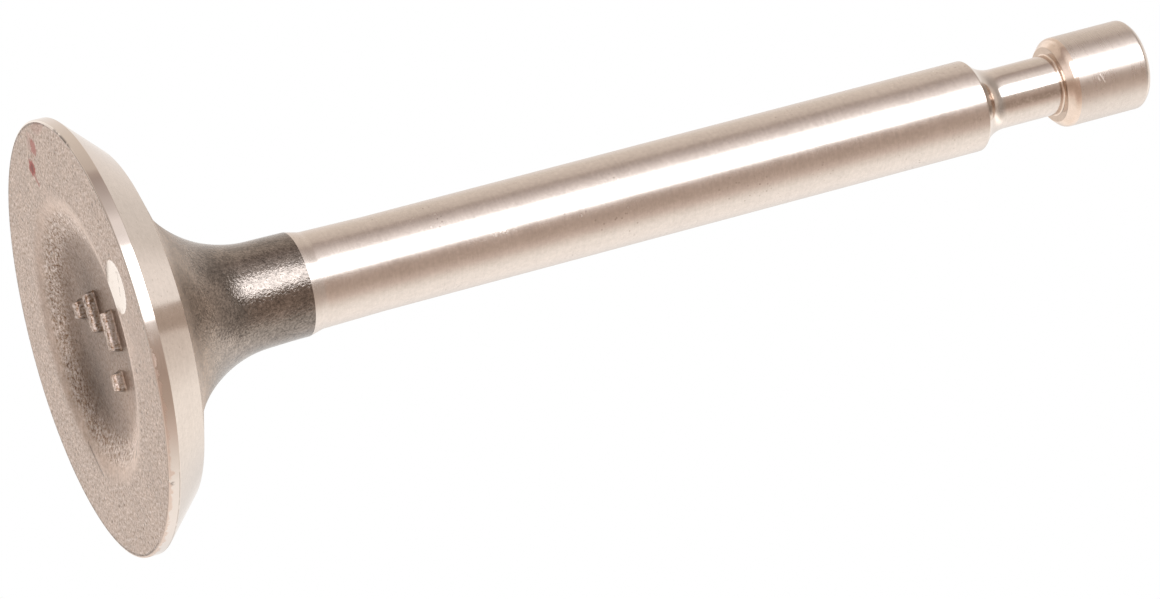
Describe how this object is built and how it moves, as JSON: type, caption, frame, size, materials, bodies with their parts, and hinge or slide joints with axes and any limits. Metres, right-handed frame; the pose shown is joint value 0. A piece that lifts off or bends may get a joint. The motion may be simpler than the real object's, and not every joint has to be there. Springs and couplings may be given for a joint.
{
  "type": "engine poppet valve",
  "caption": "Engine poppet valve with a dished flat head, angled seat, forged tulip neck, ground stem, keeper groove and plain tip.",
  "frame": {"origin": "centre of the flat ring on the head's combustion face", "axes": "+Z along the stem, from the head towards the tip; +X through the middle of the view in the reference picture"},
  "size_m": [0.0434, 0.0434, 0.1153],
  "materials": {
    "valve_steel": "ground on the seat, stem and tip; as forged and blasted on the face, dish, back and neck"
  },
  "bodies": {
    "root": {"valve": "valve_steel"}
  },
  "joints": []
}
